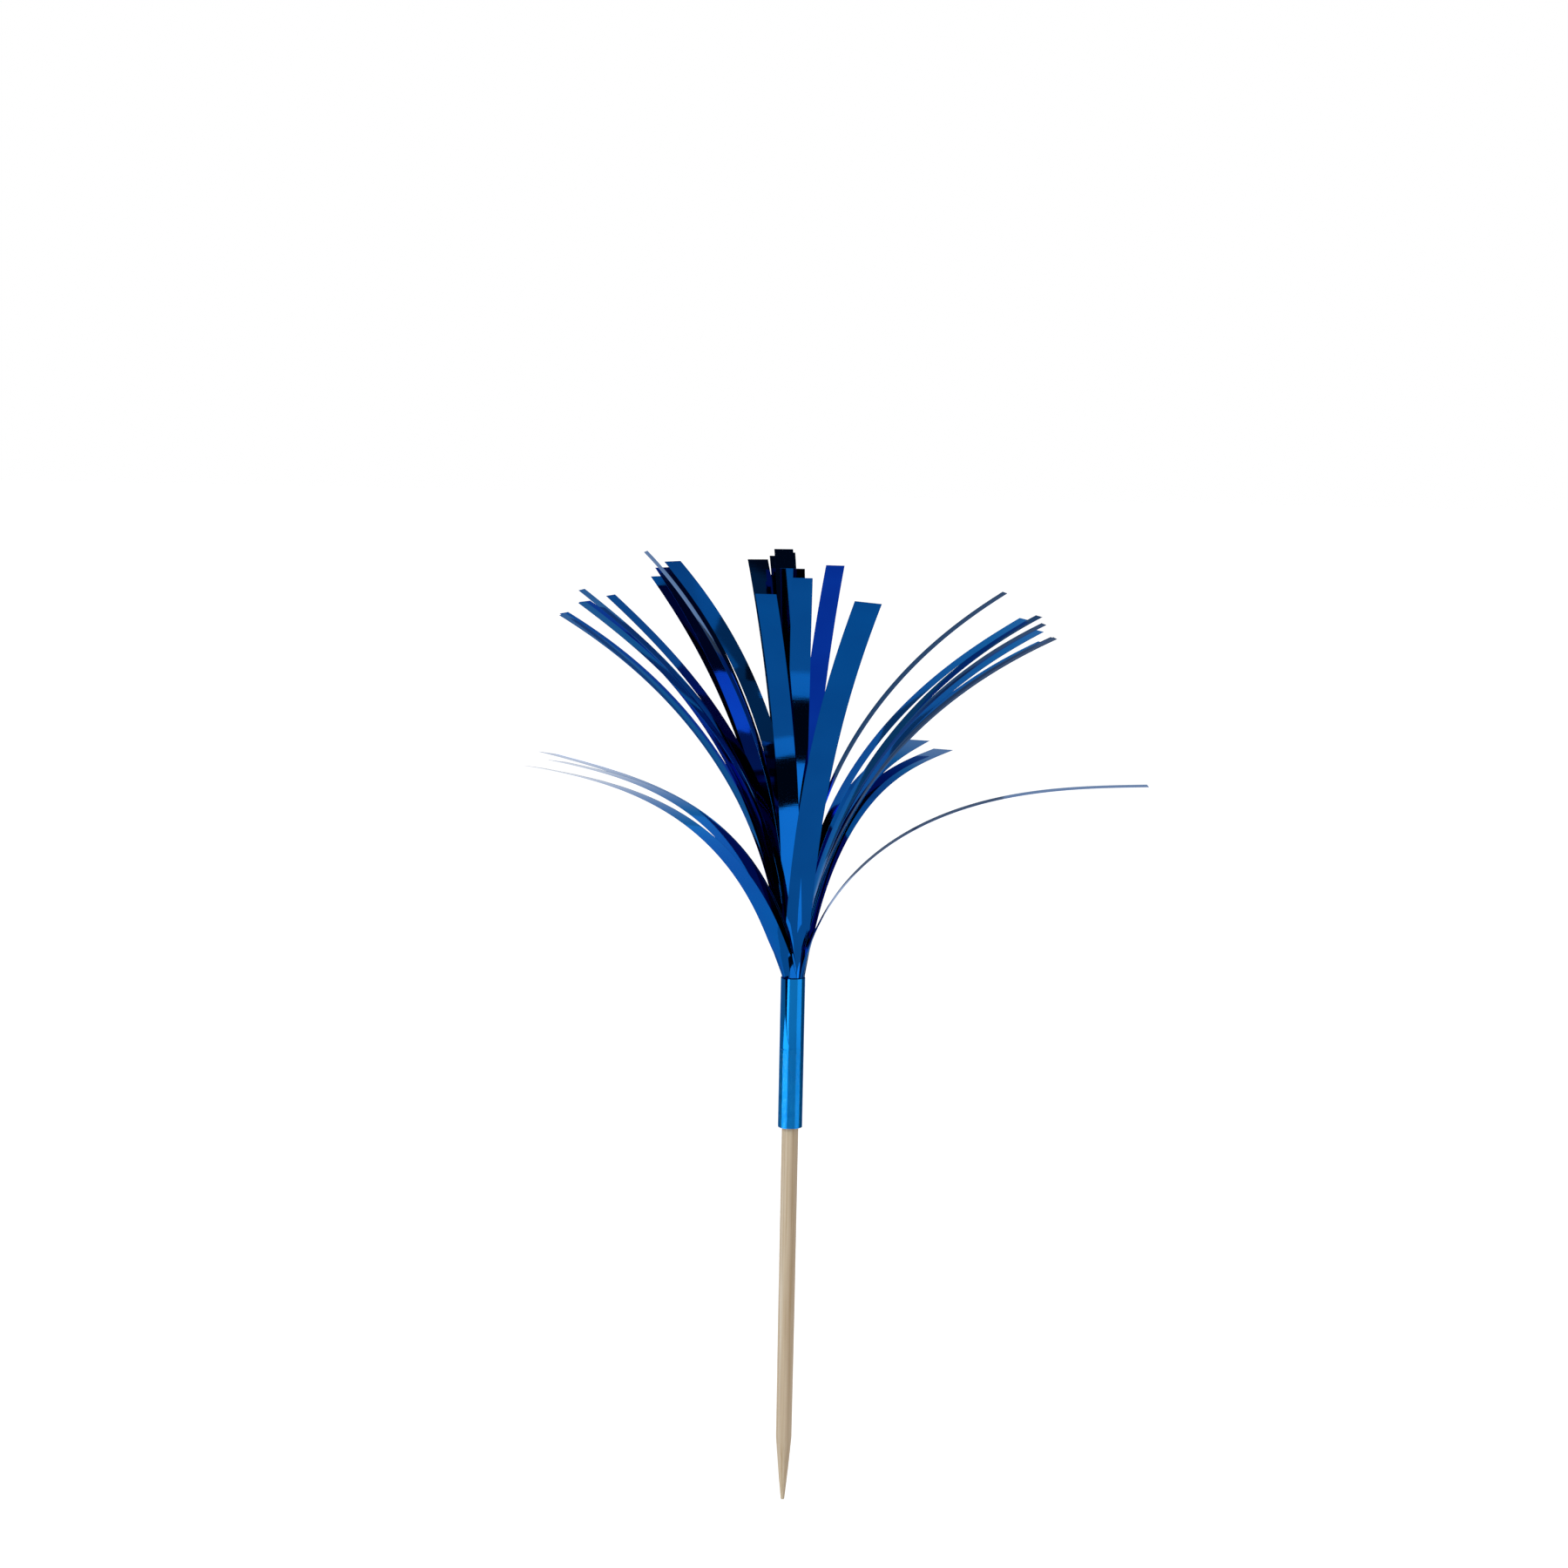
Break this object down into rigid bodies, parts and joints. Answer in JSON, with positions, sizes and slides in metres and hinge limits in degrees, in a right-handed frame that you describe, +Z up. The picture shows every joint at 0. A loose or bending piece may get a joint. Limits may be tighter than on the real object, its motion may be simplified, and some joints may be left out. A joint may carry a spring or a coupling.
{
  "type": "cupcake topper",
  "caption": "Party topper: a burst of narrow metallic foil strands rolled round the top of a wooden pick and held by clear tape.",
  "frame": {"origin": "the point of the pick, where it is pushed into the cake", "axes": "+Z up along the pick towards the strands, -Y towards the pictured front, +X to the pictured right"},
  "size_m": [0.0879, 0.0955, 0.1423],
  "materials": {
    "wood": "plain unvarnished birch or bamboo, fine grain along the pick",
    "foil": "metallised plastic film, mirror bright on both sides, royal blue",
    "tape": "thin clear glossy tape",
    "adhesive": "double-sided adhesive strip"
  },
  "bodies": {
    "root": {"adhesive_strip": "adhesive", "clear_tape": "tape", "film_roll": "foil", "strand_centre_1": "foil", "strand_centre_10": "foil", "strand_centre_2": "foil", "strand_centre_3": "foil", "strand_centre_4": "foil", "strand_centre_5": "foil", "strand_centre_6": "foil", "strand_centre_7": "foil", "strand_centre_8": "foil", "strand_centre_9": "foil", "strand_left_1": "foil", "strand_left_2": "foil", "strand_left_3": "foil", "strand_left_4": "foil", "strand_left_5": "foil", "strand_left_6": "foil", "strand_low_left_1": "foil", "strand_low_left_2": "foil", "strand_low_left_3": "foil", "strand_low_right_1": "foil", "strand_low_right_2": "foil", "strand_low_right_3": "foil", "strand_right_1": "foil", "strand_right_2": "foil", "strand_right_3": "foil", "strand_right_4": "foil", "strand_right_5": "foil", "strand_right_6": "foil", "strand_right_7": "foil", "strand_right_8": "foil", "strand_upper_left_1": "foil", "strand_upper_left_2": "foil", "strand_upper_left_3": "foil", "strand_upper_left_4": "foil", "strand_upper_left_5": "foil", "wooden_pick": "wood"}
  },
  "joints": []
}
